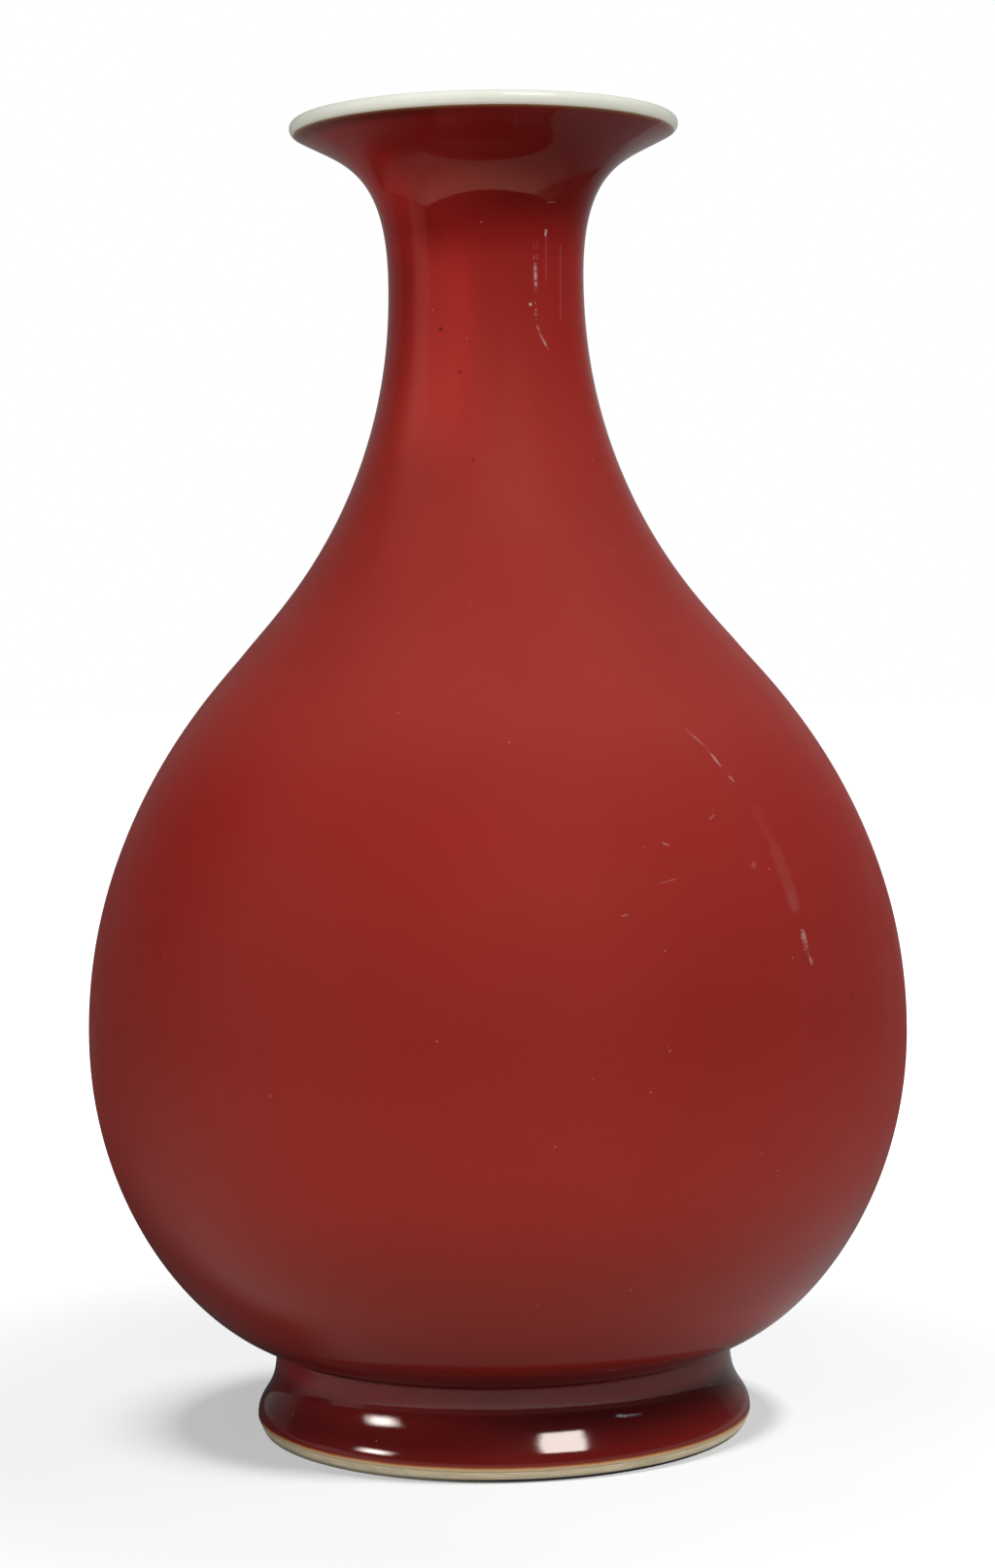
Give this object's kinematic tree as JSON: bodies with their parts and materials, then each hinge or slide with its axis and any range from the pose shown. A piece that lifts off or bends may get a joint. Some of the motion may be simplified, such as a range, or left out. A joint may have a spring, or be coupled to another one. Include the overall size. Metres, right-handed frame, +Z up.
{
  "type": "yuhuchunping vase",
  "caption": "Pear-shaped porcelain bottle vase with flared mouth, slim neck, low full belly and spreading foot ring, copper-red glaze outside and a white lip; holds water and flowers.",
  "frame": {"origin": "centre of the foot ring, on the surface that the vase stands on", "axes": "+Z up, along the axis of revolution, from the foot to the mouth; X and Y are level and equal"},
  "size_m": [0.185, 0.185, 0.295],
  "materials": {
    "porcelain": "bare fired porcelain, fine-grained, matt",
    "luting_slip": "fired slip, matt",
    "copper_red_glaze": "glossy copper-red glaze with a fine orange-peel surface and small specks",
    "white_glaze": "glossy white glaze with a faint green tint"
  },
  "bodies": {
    "root": {"neck_section": "porcelain", "upper_belly": "porcelain", "lower_belly": "porcelain", "foot_ring": "porcelain", "neck_joint_slip": "luting_slip", "belly_joint_slip": "luting_slip", "foot_joint_slip": "luting_slip", "red_glaze": "copper_red_glaze", "lip_glaze": "white_glaze", "inner_glaze": "white_glaze", "base_glaze": "white_glaze"}
  },
  "joints": []
}
